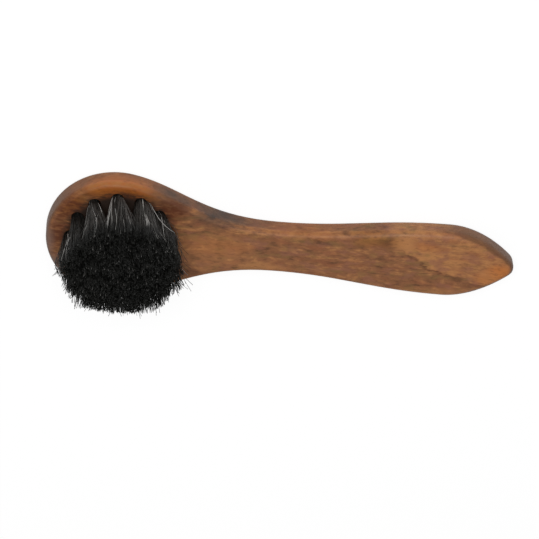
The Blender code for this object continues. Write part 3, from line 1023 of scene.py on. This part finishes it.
def hair_tuft(number, node, middle):
    """One tuft of folded hairs as a single mesh."""
    rng = np.random.default_rng(HAIR_SEED + number)
    roots = root_grid(rng)
    strands = share_out(rng, roots, STRANDS)
    wild = rng.random(len(roots)) < WILD_SHARE
    shade = hair_shades(rng, roots, Vector(middle) - field_centre, strands, wild)
    grey = shade > GREY_FROM
    thickness = np.where(grey, GREY_THICKER, 1.0)
    looseness = np.where(grey, GREY_STIFFNESS, 1.0)
    paths = folded_paths(rng, roots, middle, strands, wild, looseness)
    corners = bend_rods(paths, rng.uniform(*HAIR_RADIUS, len(roots)) * thickness)
    faces = [tuple(corner + hair * len(rod_corners) for corner in face)
             for hair in range(len(roots)) for face in rod_faces]
    mesh = bpy.data.meshes.new(f"horsehair_tuft_{number:02d}")
    mesh.from_pydata(corners.tolist(), [], faces)
    mesh.shade_smooth()
    shades = mesh.attributes.new("shade", "FLOAT", "POINT")
    shades.data.foreach_set("value", np.repeat(shade, len(rod_corners)))
    tuft = bpy.data.objects.new(mesh.name, mesh)
    bpy.context.scene.collection.objects.link(tuft)
    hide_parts(node)
    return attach(tuft, "root")


tufts = [hair_tuft(number, node, middle)
         for number, (node, middle) in enumerate(zip(tuft_names, places), start=1)]
hairs = sum(len(tuft.data.vertices) for tuft in tufts) // len(rod_corners)
faces = sum(len(tuft.data.polygons) for tuft in tufts)
print(len(tufts), "tufts,", hairs, "folded hairs,", faces, "faces")

# %% [markdown]
# ## Dye, polish and painted shade in the hair
# The tips are painted nearly black: partly polish, and partly painted shade for the trimmed ends,
# deep between the hairs. Old polish is caked round the roots up to a wavering height. The tufts at
# both ends of the field are painted darker, a painted shade on their flanks, but their palest hairs
# keep their colour. So a hair's colour depends on its shade and also on the place along it.

# %% Blacken the tips and roots
TIPS_POLISHED_AND_SHADED = (21.4, 25.4, 0.0, 0.94)
PALEST_LESS_BLACKENED = (0.95, 0.99, 1.0, 0.65)
DYED_BLOTCHES = (0.3, 0.7, 0.12, 0.0)
TUFT_DRIFT = (0.16, 1.0)
CAKE_WAVER = (0.35, 0.65, -1.2, 1.2)
CAKE_BY_TUFT = (0.4, 0.6, -2.5, 0.5)
CAKE_OFF_GREY = (0.6, 0.7, 0.0, 2.0)
ROOTS_CAKED = (9.6, 12.4, 0.92, 0.0)
ENDS_SHADED = (8.0, 14.0, 0.0, 0.55)
PALEST_UNSHADED = (0.95, 0.99, 1.0, 0.0)


def blackened(finish, along, shade, blotches):
    """How much dye, old polish and painted shade hide a hair's own colour at a place along it."""
    x, _y, height = finish.axes(along)
    # Darkened tips: partly polish, partly painted shade for the trimmed ends deep between the hairs.
    blackening = finish.math("MULTIPLY", finish.span(height, *TIPS_POLISHED_AND_SHADED), finish.span(shade, *PALEST_LESS_BLACKENED))
    blackening = finish.math("ADD", blackening, finish.span(blotches, *DYED_BLOTCHES))
    tufts_apart = finish.noise(along, *TUFT_DRIFT)
    caked = finish.math("ADD", height, finish.span(blotches, *CAKE_WAVER))
    caked = finish.math("ADD", caked, finish.span(tufts_apart, *CAKE_BY_TUFT))
    caked = finish.math("ADD", caked, finish.span(shade, *CAKE_OFF_GREY))
    blackening = finish.math("MAXIMUM", blackening, finish.span(caked, *ROOTS_CAKED))
    # Painted shade on the flanks of the tufts at both ends of the field, but not on the palest hairs.
    aside = finish.math("ABSOLUTE", finish.math("SUBTRACT", x, FIELD_MIDDLE[0]))
    end_shading = finish.span(aside, *ENDS_SHADED)
    end_shading = finish.math("MULTIPLY", end_shading, finish.span(shade, *PALEST_UNSHADED))
    return finish.math("MAXIMUM", blackening, end_shading)


print("hair is nearly black from", TIPS_POLISHED_AND_SHADED[1], "mm up, and caked below", ROOTS_CAKED[0], "mm")

# %% [markdown]
# ## The look of horsehair
# Dyed horsehair is nearly black, but it is smooth like fishing line, so its sides catch the light.
# The colour comes from each hair's own shade, and the gloss varies a little along it.

# %% Mix the hair
BLACK_HAIR = (0.0110, 0.0112, 0.0099, 1.0)
DARK_HAIR = (0.022, 0.019, 0.016, 1.0)
BROWN_HAIR = (0.098, 0.091, 0.084, 1.0)
GREY_HAIR = (0.450, 0.435, 0.415, 1.0)
TO_BROWN = (0.0, 0.6)
TO_GREY = (0.6, 1.0)
BLOTCHES = (0.8, 2.0)
HAIR_GLOSS = (0.3, 0.7, 0.36, 0.50)
HAIR_SHINE = 0.30
HAIR_SCALES = (6.0, 2.0)
SCALE_BUMP = 0.10
SCALE_RELIEF = 0.02 * MM


def hair_finish():
    """Smooth hair in its own shade, blackened in places."""
    finish = Finish("dyed_horsehair")
    shade = finish.add("ShaderNodeAttribute", {}, output="Fac", attribute_name="shade")
    along = finish.stretch(finish.place(), PER_MM)
    blotches = finish.noise(along, *BLOTCHES)
    colour = finish.mix(finish.span(shade, *TO_BROWN), DARK_HAIR, BROWN_HAIR)
    colour = finish.mix(finish.span(shade, *TO_GREY), colour, GREY_HAIR)
    colour = finish.mix(blackened(finish, along, shade, blotches), colour, BLACK_HAIR)
    scales = finish.noise(along, *HAIR_SCALES)
    return finish.use(Base_Color=colour, Roughness=finish.span(blotches, *HAIR_GLOSS),
                      Specular_IOR_Level=HAIR_SHINE,
                      Normal=finish.bump(scales, SCALE_BUMP, SCALE_RELIEF))


horsehair = hair_finish()
for tuft in tufts:
    tuft.data.materials.append(horsehair)
print("hair finish on", len(tufts), "tufts")

# %% [markdown]
# ## The wire anchors
# Each anchor is a short piece of flat wire, driven in with the fold of its tuft.
# Its solid is already right and lies out of sight, so it keeps its form and only gets its metal:
# drawn wire has fine marks along its length and a dull, slightly yellow shine.

# %% Finish the wire
WIRE_BRIGHT = (0.66, 0.61, 0.50, 1.0)
WIRE_DULL = (0.40, 0.36, 0.29, 1.0)
MARK_STRETCH = (0.4 / MM, 9 / MM, 9 / MM)
MARK_NOISE = (1.0, 3.0, 0.6)
MARK_TO_BRIGHT = (0.3, 0.7)
MARK_GLOSS = (0.3, 0.7, 0.45, 0.28)
MARK_BUMP = 0.2
MARK_RELIEF = 0.01 * MM


def wire_finish():
    """Metal with fine marks along the wire."""
    finish = Finish("drawn_wire")
    along = finish.stretch(finish.place(), MARK_STRETCH)
    marks = finish.noise(along, *MARK_NOISE)
    colour = finish.mix(finish.span(marks, *MARK_TO_BRIGHT), WIRE_DULL, WIRE_BRIGHT)
    return finish.use(Base_Color=colour, Metallic=1.0, Roughness=finish.span(marks, *MARK_GLOSS),
                      Normal=finish.bump(marks, MARK_BUMP, MARK_RELIEF))


drawn_wire = wire_finish()
for name in anchor_names:
    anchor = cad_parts[name]
    anchor.data.materials.clear()
    anchor.data.materials.append(drawn_wire)
print("wire finish on", len(anchor_names), "anchors")
